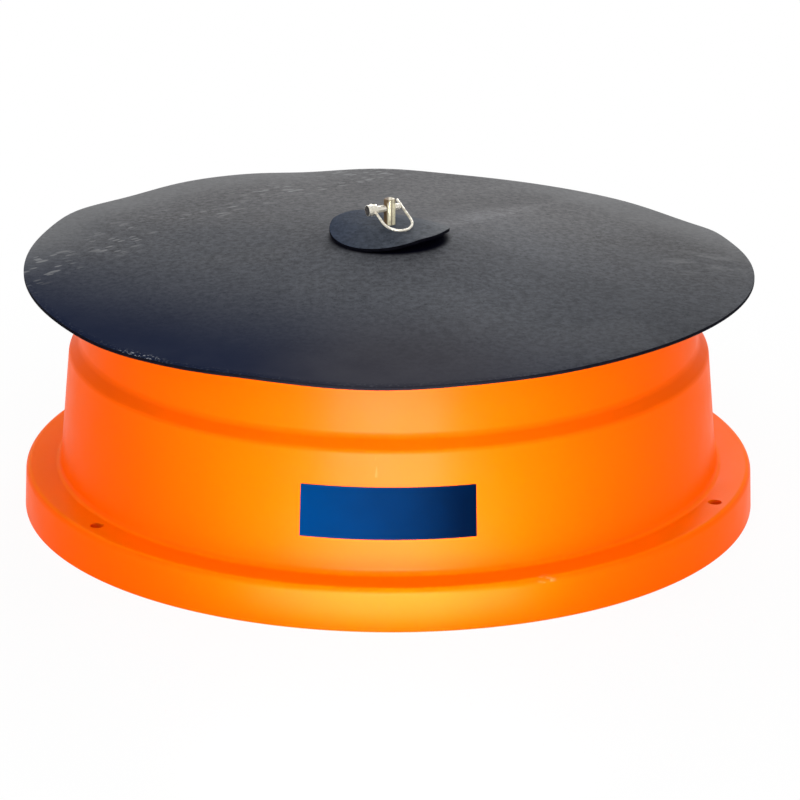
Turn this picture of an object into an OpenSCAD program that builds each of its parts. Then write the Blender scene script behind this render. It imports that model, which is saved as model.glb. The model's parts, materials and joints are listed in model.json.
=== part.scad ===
// Livestock mineral feeder: a round moulded tub with an inner pan, closed by a loose rubber lid.
// The lid turns on a centre stud, bends up at the front, and is kept by a cap washer and a snap pin.
// Millimetres, +Z up, origin on the ground at the centre of the tub, front toward -Y.

/* [Tub] */
// Height of the rim above the ground
tub_h = 322.5; // [300:0.5:360]
// Wall thickness of the tub moulding
tub_t = 7; // [5:0.5:9]
// Diameter of the foot flange at the ground
flange_d = 1016; // [1000:1:1060]
// Height of the foot flange
flange_h = 58; // [40:1:80]
// Draft of the flange's outer side, in degrees
flange_draft = 2.5; // [1:0.5:5]
// Rounding of the flange's top edge
flange_edge_r = 9; // [8:0.5:14]
// Width of the flange from its edge at the ground to the wall
flange_w = 50.3; // [48:0.1:60]
// Rounding between the flange and the wall
wall_foot_r = 9; // [5:0.5:16]
// Draft of the main wall, in degrees
wall_draft = 5.4; // [3:0.1:7]
// Height at which the wall steps inward
shoulder_z = 220.5; // [190:0.5:240]
// How far the wall steps inward
shoulder_step = 15; // [8:0.5:20]
// Slope of the step, in degrees from upright
shoulder_angle = 43; // [30:1:60]
// Rounding at the foot of the step
shoulder_r = 12; // [8:1:40]
// Rounding at the head of the step
shoulder_head_r = 9; // [5:0.5:18]
// Draft of the band above the step, in degrees
band_draft = 4.5; // [2:0.1:7]
// Width of the rolled rim
rim_w = 24; // [20:0.5:32]
// Rounding of the rim
rim_r = 9; // [8:0.5:10]
// Depth of the pan's seat below the rim
seat_drop = 27; // [22:0.5:36]
// Width of the pan's seat
seat_w = 30; // [24:0.5:40]

/* [Anchor holes] */
// Number of anchor holes in the flange
anchor_count = 3; // [3:1:6]
// Diameter of an anchor hole
anchor_d = 19; // [14:0.5:24]
// Distance of the anchor holes from the flange's edge at the ground
anchor_inset = 27; // [24:0.5:29]
// Direction of the first anchor hole, in degrees
anchor_turn = -23.4; // [-60:0.1:60]

/* [Pan] */
// Depth of the pan below its lip
pan_depth = 150; // [110:1:180]
// Wall thickness of the pan
pan_t = 6; // [4:0.5:8]
// Draft of the pan's wall, in degrees
pan_draft = 6; // [3:0.5:10]
// Rounding between the pan's wall and floor
pan_floor_r = 24; // [12:1:40]
// Diameter of the hole in the pan's floor, under the pedestal
pan_hole_d = 130; // [100:1:160]
// Number of bolts that hold the pan's lip
pan_bolt_count = 6; // [3:1:12]
// Thread diameter of the pan bolts
pan_bolt_d = 6; // [5:1:8]

/* [Dividers] */
// Number of dividers that split the pan into compartments
divider_count = 3; // [2:1:4]
// Thickness of a divider
divider_t = 8; // [5:0.5:12]
// Height of a divider above the pan's floor
divider_h = 120; // [80:1:140]
// Direction of the first divider, in degrees
divider_turn = 30; // [0:1:90]

/* [Pedestal] */
// Diameter of the pedestal's cone at the pan's floor
pedestal_foot_d = 250; // [220:1:280]
// Diameter of the pedestal's cone at its top
pedestal_top_d = 96; // [84:1:120]
// Wall thickness of the pedestal
pedestal_t = 7; // [5:0.5:9]
// Width of the pedestal's bolting flange
pedestal_flange_w = 38; // [32:1:50]
// Rounding of the pedestal's corners
pedestal_r = 12; // [10:0.5:14]
// Number of bolts in the pedestal's flange
pedestal_bolt_count = 3; // [3:1:8]
// Thread diameter of the pedestal bolts
pedestal_bolt_d = 8; // [6:1:10]

/* [Stud] */
// Diameter of the lid stud
stud_d = 16; // [14:0.5:20]
// Height of the stud above the cap washer
stud_above = 35.5; // [32:0.5:50]
// Chamfer at the top of the stud
stud_chamfer = 1.5; // [0.5:0.25:3]
// Thickness of the flat washers on the stud
stud_washer_t = 3; // [2:0.5:5]
// Diameter of the wide washer under the pedestal's top
fender_d = 60; // [50:1:66]
// Diameter of the flat washer under the nut
stud_washer_d = 40; // [34:1:60]
// Diameter of the plate that carries the lid
support_d = 46; // [42:1:64]
// Thickness of the plate that carries the lid
support_t = 5; // [3:0.5:8]

/* [Lid] */
// Diameter of the rubber lid
lid_d = 1002; // [960:1:1040]
// Thickness of the rubber lid
lid_t = 5; // [4:0.5:10]
// Fall of the lid from its centre to its edge
lid_drop = 55; // [30:1:80]
// Height of the two-lobed wave at the lid's edge
wave_h = 7; // [0:0.5:14]
// Direction of the wave's crest, in degrees
wave_turn = 147; // [0:1:180]
// Height of the lid's one-sided lean at its edge
lean_h = 4.5; // [0:0.5:6]
// Direction of the lean's high side, in degrees
lean_turn = -145; // [-180:1:180]
// Distance from the stud to the line where the front of the lid bends
flap_line = 96; // [92:1:200]

/* [Cap washer] */
// Diameter of the rubber cap washer
cap_d = 165; // [120:1:170]
// Thickness of the rubber cap washer
cap_t = 5; // [4:0.5:8]
// Direction in which the cap washer droops onto the lid to both sides, in degrees; across it, it stays level
droop_turn = 232; // [180:1:360]

/* [Snap pin] */
// Diameter of the snap pin
pin_d = 9.5; // [8:0.25:10]
// Depth of the pin's hole below the top of the stud
pin_drop = 13; // [12:0.5:15]
// Reach of the pin's tip past the stud's axis
pin_tip = 16; // [12:0.5:16]
// Diameter of the pin's head
pin_head_d = 15.5; // [13:0.25:18]
// Length of the pin's head
pin_head_l = 14; // [12:0.5:18]
// Distance from the stud's axis to the near end of the head
pin_neck = 20.5; // [16:0.5:28]
// Direction of the pin, in degrees
pin_turn = 28; // [0:1:90]
// Tilt of the bail below level, in degrees
bail_tilt = 23.5; // [10:0.5:24]
// Diameter of the bail's wire
bail_wire_d = 3.6; // [3:0.1:4]
// Reach of the bail's loop from the pin's axis
bail_reach = 50; // [40:0.5:51]
// Distance between the bail's legs
bail_w = 43; // [40:0.5:48]
// Reach of the bail's tail past the pin
bail_tail = 15; // [8:0.5:16]

/* [Front panel] */
// Width of the front panel along the wall
panel_w = 232; // [150:1:300]
// Height of the front panel
panel_h = 69; // [40:1:80]
// Height of the front panel's lower edge above the ground
panel_z = 105; // [80:1:120]
// Thickness of the front panel
panel_t = 0.6; // [0.4:0.1:1.5]

/* [Hidden] */
// Radial clearance of a bolt in its hole
bolt_clear = 0.4;
// Running clearance of a turning pin in its bore
run_clear = 0.06;
// Clearance round a loose piece
loose_clear = 0.5;
// Running gap between the lid's lowest wave and the rim
lid_rim_gap = 1.6;
// How far the lid's flat centre reaches past the plate under it, and the cap washer's past the lid's
hub_margin = 2;
// Gap in the cut between the two halves of the lid
flap_cut = 0.3;
// Glue between the wall and the front panel
panel_glue = 0.2;
// Overrun of every cut past the surface that it opens
over = 1;
// Steps in a rounded corner
corner_steps = 6;
// Roundness of turned pieces
$fn = 96;
// Sides and rings of the rubber sheets
lid_sides = 64;
lid_rings = 6;
cap_sides = 40;
cap_rings = 4;
// Number of lobes of the lid's wave
wave_lobes = 2;
// Powers by which the lid falls, its wave grows, its rings widen and the cap washer droops outward
fall_growth = 0.62;
wave_growth = 1.5;
ring_growth = 2;
droop_growth = 1.1;

// Hexagon sizes as shares of the thread diameter
hex_share = 1.6;
head_share = 0.65;
nut_share = 0.8;
lock_share = 0.25;
lock_d_share = 1.7;
small_washer_share = 2.2;
small_washer_t_share = 0.25;
shank_out_share = 0.4;
// Slot of the lock washer as a share of its thickness
lock_slot_share = 0.5;
// Place of the pedestal bolts as a share of the flange's width
pedestal_bolt_share = 0.58;
// Chamfer and rounding of the snap pin, and the bail's button, as shares of their diameters
pin_chamfer_share = 0.2;
pin_head_round_share = 0.125;
bail_button_share = 1.5;

flange_r = flange_d / 2;
flange_top_r = flange_r - flange_h * tan(flange_draft);
wall_foot_radius = flange_r - flange_w;
shoulder_foot = wall_foot_radius - (shoulder_z - flange_h) * tan(wall_draft);
shoulder_rise = shoulder_step / tan(shoulder_angle);
band_foot = shoulder_foot - shoulder_step;
band_foot_z = shoulder_z + shoulder_rise;
rim_out = band_foot - (tub_h - band_foot_z) * tan(band_draft);
rim_in = rim_out - rim_w;
seat_z = tub_h - seat_drop;
seat_in = rim_in - seat_w;

pan_top_r = seat_in - loose_clear - pan_t;
pan_lip_r = rim_in - rim_r - loose_clear;
pan_floor_z = seat_z - pan_depth;
pan_floor_radius = pan_top_r - (pan_depth + pan_t) * tan(pan_draft);
pan_bolt_r = (seat_in + pan_lip_r) / 2;

lid_r = lid_d / 2;
lid_hub_r = support_d / 2 + hub_margin;
lid_hub_z = tub_h + lid_rim_gap + lid_t + lid_fall(rim_out) + lid_sway(rim_out);
cap_z = lid_hub_z + cap_t;
stud_top_z = cap_z + stud_above;
stud_nut_h = stud_d * nut_share;
stud_head_h = stud_d * head_share;
stud_lock_t = stud_d * lock_share;
lock_slot = stud_lock_t * lock_slot_share;
support_z = lid_hub_z - lid_t - support_t;
stud_nut_z = support_z - stud_nut_h;
pedestal_top_z = stud_nut_z - stud_washer_t;
fender_z = pedestal_top_z - pedestal_t - stud_washer_t;
stud_lock_z = fender_z - stud_lock_t;
stud_head_z = stud_lock_z - stud_head_h;
stud_bore_r = stud_d / 2 + bolt_clear;

pedestal_foot_r = pedestal_foot_d / 2;
pedestal_top_r = pedestal_top_d / 2;
pedestal_flange_r = pedestal_foot_r + pedestal_flange_w;
pedestal_flange_z = pan_floor_z + pedestal_t;
pedestal_slope = (pedestal_foot_r - pedestal_top_r) / (pedestal_top_z - pedestal_flange_z);
pedestal_bolt_r = pedestal_foot_r + pedestal_flange_w * pedestal_bolt_share;

cap_r = cap_d / 2;
cap_flat_r = lid_hub_r + hub_margin;
cap_droop = lid_fall(cap_r) - lid_sway(cap_r) - loose_clear;
pin_z = stud_top_z - pin_drop;
pin_r = pin_d / 2;
pin_head_r = pin_head_d / 2;
pin_chamfer = pin_d * pin_chamfer_share;
pin_head_round = pin_head_d * pin_head_round_share;
bail_r = bail_wire_d / 2;
bail_inset = bail_r + pin_head_round;
bail_pivot = -pin_neck - bail_inset;
bail_far = bail_pivot + bail_w;
bail_bend_r = bail_w / 2;
bail_leg = bail_reach - bail_bend_r;
bail_stub = pin_head_r + bail_r;
bail_button_d = bail_wire_d * bail_button_share;
panel_angle = panel_w / wall_foot_radius * 180 / PI;

// Direction of a step along a path, and its left-hand normal
function unit(v) = v / norm(v);
function along(path, i) = unit([path[i + 1][0] - path[i][0], path[i + 1][1] - path[i][1]]);
function left_of(v) = [-v[1], v[0]];
function turn_of(path, i) =
    (i == 0 || i == len(path) - 1) ? 0 : cross(along(path, i - 1), along(path, i));

// The shift of a path's end, level or upright, so that the end stays square to the axis
function end_shift(n, t) = abs(n[0]) > abs(n[1]) ? [t / n[0], 0] : [0, t / n[1]];

// A path of [radius, height, rounding] points, moved sideways by a wall's thickness
function moved(path, t) = [for (i = [0 : len(path) - 1])
    let (a = left_of(along(path, max(i - 1, 0))))
    let (b = left_of(along(path, min(i, len(path) - 2))))
    let (inside = i > 0 && i < len(path) - 1)
    let (shift = inside ? (a + b) * t / (1 + a * b) : end_shift(a, t))
    let (rounding = max(path[i][2] - sign(turn_of(path, i)) * t, 0))
    [path[i][0] + shift[0], path[i][1] + shift[1], rounding]];

// The points of one corner: an arc that touches both sides, or the sharp corner itself
function corner(p, before, after, r) =
    let (u = unit(before - p))
    let (v = unit(after - p))
    let (half = acos(u * v) / 2)
    let (centre = p + unit(u + v) * r / sin(half))
    let (from = p + u * r / tan(half) - centre)
    let (to = p + v * r / tan(half) - centre)
    let (start = atan2(from[1], from[0]))
    let (swing = atan2(cross(from, to), from * to))
    [for (k = [0 : corner_steps])
        centre + r * [cos(start + swing * k / corner_steps), sin(start + swing * k / corner_steps)]];

function flat(p) = [p[0], p[1]];
function rounded(path) = [for (i = [0 : len(path) - 1])
    each (path[i][2] == 0 || i == 0 || i == len(path) - 1) ? [flat(path[i])]
        : corner(flat(path[i]), flat(path[i - 1]), flat(path[i + 1]), path[i][2])];
function reversed(list) = [for (i = [len(list) - 1 : -1 : 0]) list[i]];

// A moulded wall of even thickness, turned about the axis; the path runs along its outer face
module moulded(path, t) {
    rotate_extrude()
        polygon(concat(rounded(path), reversed(rounded(moved(path, t)))));
}

module ring_of(count, r, first = 0) {
    for (i = [0 : count - 1])
        rotate(first + i * 360 / count)
            translate([r, 0, 0])
                children();
}

module hexagon(size, h) {
    cylinder(d = size / cos(30), h = h, $fn = 6);
}

module washer(d, bore, t) {
    difference() {
        cylinder(d = d, h = t);
        translate([0, 0, -over])
            cylinder(r = bore, h = t + 2 * over);
    }
}

module nut(thread, h) {
    difference() {
        hexagon(thread * hex_share, h);
        translate([0, 0, -over])
            cylinder(r = thread / 2 + run_clear, h = h + 2 * over);
    }
}

// A thin sheet of rubber between rings of given radii, with its upper face at top(radius, angle)
module rubber_ring(radii, sides, t, top) {
    last = len(radii) - 1;
    upper = [for (r = radii) for (j = [0 : sides - 1]) let (a = j * 360 / sides)
        [r * cos(a), r * sin(a), top(r, a)]];
    lower = [for (p = upper) p - [0, 0, t]];
    size = len(upper);
    function at(i, j) = i * sides + (j % sides);
    faces = [for (j = [0 : sides - 1]) each concat(
        [for (i = [0 : last - 1]) each [
            [at(i, j), at(i, j + 1), at(i + 1, j + 1)],
            [at(i, j), at(i + 1, j + 1), at(i + 1, j)],
            [size + at(i, j), size + at(i + 1, j + 1), size + at(i, j + 1)],
            [size + at(i, j), size + at(i + 1, j), size + at(i + 1, j + 1)]]],
        [[at(last, j), at(last, j + 1), size + at(last, j + 1)],
            [at(last, j), size + at(last, j + 1), size + at(last, j)],
            [at(0, j), size + at(0, j + 1), at(0, j + 1)],
            [at(0, j), size + at(0, j), size + at(0, j + 1)]])];
    polyhedron(concat(upper, lower), faces);
}

// Tub: skirt and foot flange, drafted wall, step, band, rolled rim and the seat for the pan
tub_path = [
    [flange_r, 0, 0],
    [flange_top_r, flange_h, flange_edge_r],
    [wall_foot_radius, flange_h, wall_foot_r],
    [shoulder_foot, shoulder_z, shoulder_r],
    [band_foot, band_foot_z, shoulder_head_r],
    [rim_out, tub_h, rim_r],
    [rim_in, tub_h, rim_r],
    [rim_in, seat_z, rim_r],
    [seat_in, seat_z, 0]];

module base_tub() {
    color("darkorange")
        difference() {
            moulded(tub_path, tub_t);
            ring_of(anchor_count, flange_r - anchor_inset, anchor_turn)
                translate([0, 0, flange_h - tub_t - over])
                    cylinder(d = anchor_d, h = tub_t + 2 * over);
            ring_of(pan_bolt_count, pan_bolt_r)
                translate([0, 0, seat_z - tub_t - over])
                    cylinder(r = pan_bolt_d / 2 + bolt_clear, h = tub_t + 2 * over);
        }
}

// Pan: hangs on the seat by its lip and holds the mineral
pan_path = [
    [pan_lip_r, seat_z + pan_t, 0],
    [pan_top_r, seat_z + pan_t, pan_t],
    [pan_floor_radius, pan_floor_z, pan_floor_r],
    [pan_hole_d / 2, pan_floor_z, 0]];

module mineral_pan() {
    color("orange")
        difference() {
            moulded(pan_path, pan_t);
            ring_of(pan_bolt_count, pan_bolt_r)
                translate([0, 0, seat_z - over])
                    cylinder(r = pan_bolt_d / 2 + bolt_clear, h = pan_t + 2 * over);
            ring_of(pedestal_bolt_count, pedestal_bolt_r)
                translate([0, 0, pan_floor_z - pan_t - over])
                    cylinder(r = pedestal_bolt_d / 2 + bolt_clear, h = pan_t + 2 * over);
        }
}

// Divider: a plate on the pan's floor between the pedestal and the pan's wall
function pedestal_radius(z) = pedestal_foot_r - (z - pedestal_flange_z) * pedestal_slope;
function pan_radius(z) = pan_floor_radius + (z - pan_floor_z) * tan(pan_draft);
divider_top = pan_floor_z + divider_h;
divider_step_z = pedestal_flange_z + pedestal_r + loose_clear;

module divider(i) {
    color("goldenrod")
        rotate(divider_turn + i * 360 / divider_count)
            rotate([90, 0, 0])
                translate([0, 0, -divider_t / 2])
                    linear_extrude(divider_t)
                        polygon([
                            [pedestal_flange_r + loose_clear, pan_floor_z],
                            [pan_floor_radius - pan_floor_r, pan_floor_z],
                            [pan_radius(pan_floor_z + pan_floor_r) - loose_clear, pan_floor_z + pan_floor_r],
                            [pan_radius(divider_top) - loose_clear, divider_top],
                            [pedestal_radius(divider_top) + loose_clear, divider_top],
                            [pedestal_radius(divider_step_z) + loose_clear, divider_step_z],
                            [pedestal_flange_r + loose_clear, divider_step_z]]);
}

module pan_divider_right() { divider(0); }
module pan_divider_left() { divider(1); }
module pan_divider_front() { divider(2); }

// Pedestal: a hollow cone bolted to the pan's floor, which carries the lid stud
pedestal_path = [
    [pedestal_flange_r, pedestal_flange_z, 0],
    [pedestal_foot_r, pedestal_flange_z, pedestal_r],
    [pedestal_top_r, pedestal_top_z, pedestal_r],
    [stud_bore_r, pedestal_top_z, 0]];

module centre_pedestal() {
    color("orange")
        difference() {
            moulded(pedestal_path, pedestal_t);
            ring_of(pedestal_bolt_count, pedestal_bolt_r)
                translate([0, 0, pan_floor_z - over])
                    cylinder(r = pedestal_bolt_d / 2 + bolt_clear, h = pedestal_t + 2 * over);
        }
}

// Hexagon bolts, washers and nuts that clamp two sheets between z_low and z_high
module bolts(count, r, thread, z_low, z_high) {
    out = thread * (small_washer_t_share + nut_share + shank_out_share);
    color("silver")
        ring_of(count, r)
            union() {
                translate([0, 0, z_high])
                    hexagon(thread * hex_share, thread * head_share);
                translate([0, 0, z_low - out])
                    cylinder(d = thread, h = z_high - z_low + out);
            }
}

module bolt_washers(count, r, thread, z_low) {
    t = thread * small_washer_t_share;
    color("lightgrey")
        ring_of(count, r)
            translate([0, 0, z_low - t])
                washer(thread * small_washer_share, thread / 2 + bolt_clear, t);
}

module bolt_nuts(count, r, thread, z_low) {
    color("silver")
        ring_of(count, r)
            translate([0, 0, z_low - thread * (small_washer_t_share + nut_share)])
                nut(thread, thread * nut_share);
}

module pan_bolts() { bolts(pan_bolt_count, pan_bolt_r, pan_bolt_d, seat_z - tub_t, seat_z + pan_t); }
module pan_washers() { bolt_washers(pan_bolt_count, pan_bolt_r, pan_bolt_d, seat_z - tub_t); }
module pan_nuts() { bolt_nuts(pan_bolt_count, pan_bolt_r, pan_bolt_d, seat_z - tub_t); }
module pedestal_bolts() {
    bolts(pedestal_bolt_count, pedestal_bolt_r, pedestal_bolt_d, pan_floor_z - pan_t, pedestal_flange_z);
}
module pedestal_washers() {
    bolt_washers(pedestal_bolt_count, pedestal_bolt_r, pedestal_bolt_d, pan_floor_z - pan_t);
}
module pedestal_nuts() {
    bolt_nuts(pedestal_bolt_count, pedestal_bolt_r, pedestal_bolt_d, pan_floor_z - pan_t);
}

// The snap pin's own frame: its axis along x, the bail's loop toward -y
module at_pin() {
    translate([0, 0, pin_z])
        rotate([bail_tilt, 0, pin_turn])
            children();
}

module lid_stud() {
    color("goldenrod")
        difference() {
            union() {
                translate([0, 0, stud_head_z])
                    hexagon(stud_d * hex_share, stud_head_h);
                translate([0, 0, stud_lock_z])
                    cylinder(d = stud_d, h = stud_top_z - stud_chamfer - stud_lock_z);
                translate([0, 0, stud_top_z - stud_chamfer])
                    cylinder(d1 = stud_d, d2 = stud_d - 2 * stud_chamfer, h = stud_chamfer);
            }
            at_pin()
                rotate([0, 90, 0])
                    translate([0, 0, -stud_d])
                        cylinder(r = pin_r + run_clear, h = 2 * stud_d);
        }
}

module fender_washer() {
    color("silver")
        translate([0, 0, fender_z])
            washer(fender_d, stud_bore_r, stud_washer_t);
}

module lock_washer() {
    color("grey")
        translate([0, 0, stud_lock_z])
            difference() {
                washer(stud_d * lock_d_share, stud_bore_r, stud_lock_t);
                translate([0, -lock_slot / 2, -over])
                    cube([stud_d, lock_slot, stud_lock_t + 2 * over]);
            }
}

module stud_washer() {
    color("silver")
        translate([0, 0, pedestal_top_z])
            washer(stud_washer_d, stud_bore_r, stud_washer_t);
}

module stud_nut() {
    color("goldenrod")
        translate([0, 0, stud_nut_z])
            nut(stud_d, stud_nut_h);
}

module lid_support_plate() {
    color("silver")
        translate([0, 0, support_z])
            washer(support_d, stud_bore_r, support_t);
}

// Lid: flat over the support plate, then falling and waving out to its edge
function lid_reach(r) = max((r - lid_hub_r) / (lid_r - lid_hub_r), 0);
function lid_fall(r) = lid_drop * pow(lid_reach(r), fall_growth);
function lid_sway(r) = (wave_h + lean_h) * pow(lid_reach(r), wave_growth);
function lid_wave(a) = wave_h * cos(wave_lobes * (a - wave_turn)) + lean_h * cos(a - lean_turn);
lid_top = function (r, a)
    lid_hub_z - lid_fall(r) + lid_wave(a) * pow(lid_reach(r), wave_growth);
lid_radii = concat([lid_hub_r - lid_t],
    [for (k = [0 : lid_rings]) lid_hub_r + (lid_r - lid_hub_r) * pow(k / lid_rings, ring_growth)]);

module lid_sheet() {
    rubber_ring(lid_radii, lid_sides, lid_t, lid_top);
    translate([0, 0, lid_hub_z - lid_t])
        cylinder(r = lid_hub_r - lid_t / 2, h = lid_t);
}

// Everything in front of the bend line, at a given distance from it
module front_of(distance) {
    translate([-lid_d, -flap_line - distance - lid_d, 0])
        cube([2 * lid_d, lid_d, stud_top_z]);
}

module rubber_lid() {
    color([0.2, 0.2, 0.22])
        difference() {
            lid_sheet();
            front_of(0);
            translate([0, 0, lid_hub_z - lid_t - over])
                cylinder(r = stud_d / 2 + loose_clear, h = lid_t + 2 * over);
        }
}

module rubber_lid_flap() {
    color([0.25, 0.25, 0.27])
        intersection() {
            rubber_ring(lid_radii, lid_sides, lid_t, lid_top);
            front_of(flap_cut);
        }
}

// Cap washer: a rubber disc bent over a level ridge, drooping onto the lid on both sides of it
function cap_bend(side) = pow(max((abs(side) - cap_flat_r) / (cap_r - cap_flat_r), 0), droop_growth);
cap_top = function (r, a) cap_z - cap_droop * cap_bend(r * cos(a - droop_turn));
cap_radii = concat([cap_flat_r - cap_t],
    [for (k = [0 : cap_rings]) cap_flat_r + (cap_r - cap_flat_r) * k / cap_rings]);

module cap_washer() {
    color([0.15, 0.15, 0.18])
        difference() {
            union() {
                rubber_ring(cap_radii, cap_sides, cap_t, cap_top);
                translate([0, 0, lid_hub_z])
                    cylinder(r = cap_flat_r - cap_t / 2, h = cap_t);
            }
            translate([0, 0, lid_hub_z - over])
                cylinder(r = stud_bore_r, h = cap_t + 2 * over);
        }
}

// Snap pin: head with a cross hole for the bail, shank through the stud, chamfered tip
module snap_pin() {
    color("gainsboro")
        at_pin()
            difference() {
                rotate([0, 90, 0])
                    rotate_extrude()
                        polygon([
                            [0, -pin_neck - pin_head_l],
                            [pin_head_r - pin_head_round, -pin_neck - pin_head_l],
                            [pin_head_r, -pin_neck - pin_head_l + pin_head_round],
                            [pin_head_r, -pin_neck - pin_head_round],
                            [pin_head_r - pin_head_round, -pin_neck],
                            [pin_r, -pin_neck],
                            [pin_r, pin_tip - pin_chamfer],
                            [pin_r - pin_chamfer, pin_tip],
                            [0, pin_tip]]);
                translate([bail_pivot, 0, 0])
                    rotate([90, 0, 0])
                        translate([0, 0, -pin_head_d])
                            cylinder(r = bail_r + run_clear, h = 2 * pin_head_d);
            }
}

// Bail: a wire loop from the head's cross hole, round the stud and past the pin's tip
module snap_pin_bail() {
    color("whitesmoke")
        at_pin()
            union() {
                translate([bail_pivot, -bail_leg, 0])
                    rotate([-90, 0, 0])
                        cylinder(r = bail_r, h = bail_leg + bail_stub);
                translate([bail_pivot, bail_stub, 0])
                    rotate([-90, 0, 0])
                        cylinder(d = bail_button_d, h = bail_r);
                translate([bail_far, -bail_leg, 0])
                    rotate([-90, 0, 0])
                        cylinder(r = bail_r, h = bail_leg + bail_tail);
                translate([bail_pivot + bail_bend_r, -bail_leg, 0])
                    rotate(180)
                        rotate_extrude(angle = 180)
                            translate([bail_bend_r, 0])
                                circle(r = bail_r);
            }
}

// Front panel: a thin blank plate on the main wall
function panel_radius(z) = wall_foot_radius - (z - flange_h) * tan(wall_draft) + panel_glue;

module front_panel() {
    color("midnightblue")
        rotate(-90 - panel_angle / 2)
            rotate_extrude(angle = panel_angle)
                polygon([
                    [panel_radius(panel_z), panel_z],
                    [panel_radius(panel_z) + panel_t, panel_z],
                    [panel_radius(panel_z + panel_h) + panel_t, panel_z + panel_h],
                    [panel_radius(panel_z + panel_h), panel_z + panel_h]]);
}

base_tub();
mineral_pan();
pan_divider_right();
pan_divider_left();
pan_divider_front();
centre_pedestal();
pan_bolts();
pan_washers();
pan_nuts();
pedestal_bolts();
pedestal_washers();
pedestal_nuts();
lid_stud();
fender_washer();
lock_washer();
stud_washer();
stud_nut();
lid_support_plate();
rubber_lid();
rubber_lid_flap();
cap_washer();
snap_pin();
snap_pin_bail();
front_panel();
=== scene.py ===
# %% [markdown]
# # A livestock mineral feeder
# The feeder is a round orange tub moulded from polyethylene. A loose disc of black rubber lies over it, held
# at its centre by a stud, a rubber cap washer and a snap pin, so that cattle can nose the front of it up.
# The solids come from the CAD frame, in metres. This lesson dresses them: the big moulded and rubber forms
# are made again with finer curves, and every surface gets its own finish.

# %% Load the frame
import json
import math

import bmesh
import bpy
from mathutils import Matrix, Vector


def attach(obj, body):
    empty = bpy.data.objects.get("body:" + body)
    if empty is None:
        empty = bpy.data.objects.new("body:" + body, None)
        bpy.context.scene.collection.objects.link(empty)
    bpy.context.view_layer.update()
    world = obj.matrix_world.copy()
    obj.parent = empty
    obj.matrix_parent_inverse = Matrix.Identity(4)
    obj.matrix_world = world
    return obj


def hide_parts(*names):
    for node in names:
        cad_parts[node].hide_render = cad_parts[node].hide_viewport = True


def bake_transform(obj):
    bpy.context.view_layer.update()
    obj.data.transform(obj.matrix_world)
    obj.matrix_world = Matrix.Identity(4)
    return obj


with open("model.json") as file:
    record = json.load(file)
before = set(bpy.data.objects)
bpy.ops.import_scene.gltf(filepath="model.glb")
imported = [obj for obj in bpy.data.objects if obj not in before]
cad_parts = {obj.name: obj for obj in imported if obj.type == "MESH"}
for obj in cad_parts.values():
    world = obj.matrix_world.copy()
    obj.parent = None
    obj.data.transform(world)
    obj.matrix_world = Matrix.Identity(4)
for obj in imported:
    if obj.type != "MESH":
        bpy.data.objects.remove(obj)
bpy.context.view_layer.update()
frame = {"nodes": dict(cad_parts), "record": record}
nodes = frame["nodes"]

# %% [markdown]
# ## Small helpers
# A bmesh is only a sketch in memory. Each piece is turned into a mesh object once, at the end, with smooth
# shading that breaks where two faces meet at a sharp angle. The place of the piece stays in its vertices, so
# that the object itself sits at the origin and a pattern on Object coordinates keeps its place.

# %% From a bmesh to a piece
MM = 0.001
SHARP_ANGLE = math.radians(35)


def make_piece(name, bm, materials):
    mesh = bpy.data.meshes.new(name)
    bm.to_mesh(mesh)
    bm.free()
    mesh.shade_smooth()
    mesh.set_sharp_from_angle(angle=SHARP_ANGLE)
    for material in materials:
        mesh.materials.append(material)
    piece = bpy.data.objects.new(name, mesh)
    bpy.context.scene.collection.objects.link(piece)
    print(name, len(mesh.polygons), "faces")
    return piece


# %% [markdown]
# Most pieces here are round, so they start as a line of points that is spun about an axis. A Screw modifier
# would do this too, but the operator leaves a plain mesh at once. The seam and the poles are merged before
# the faces are turned outwards. A real edge is never quite sharp, so the steep ones get a small bevel.

# %% Lines, spins and soft edges
MERGE_GAP = 1e-6


def drawn_line(points):
    bm = bmesh.new()
    corners = [bm.verts.new(point) for point in points]
    for a, b in zip(corners, corners[1:]):
        bm.edges.new((a, b))
    return bm


def spin_round(bm, axis, steps):
    """Spins a line once about an axis through the origin, and closes its seam and its poles."""
    bmesh.ops.spin(bm, geom=bm.verts[:] + bm.edges[:], cent=(0, 0, 0), axis=axis,
                   angle=math.tau, steps=steps, use_merge=True)
    bmesh.ops.remove_doubles(bm, verts=bm.verts, dist=MERGE_GAP)
    bmesh.ops.recalc_face_normals(bm, faces=bm.faces)


def steep_edges(bm, least):
    """The edges at which two faces meet at more than the least angle, in degrees."""
    return [e for e in bm.edges if len(e.link_faces) == 2 and e.calc_face_angle() > math.radians(least)]


def soften(bm, edges, width, segments):
    bmesh.ops.bevel(bm, geom=edges, offset=width, offset_type="OFFSET", affect="EDGES",
                    segments=segments, profile=0.5, material=-1, clamp_overlap=True)


# %% [markdown]
# ## How the finishes are wired
# Every finish is one Principled shader. What varies over the surface, such as colour, roughness and bump, comes
# from noise on Object coordinates, so the grain has a real size in metres. On a sheet that bends it comes from
# an attribute that keeps the place at rest of every point, so the pattern follows the sheet. What is the same
# all over is set on the shader's own socket. Nodes could be placed one by one, but then the wiring hides the
# idea, so a few short words stand for the nodes that are used again and again.

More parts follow.
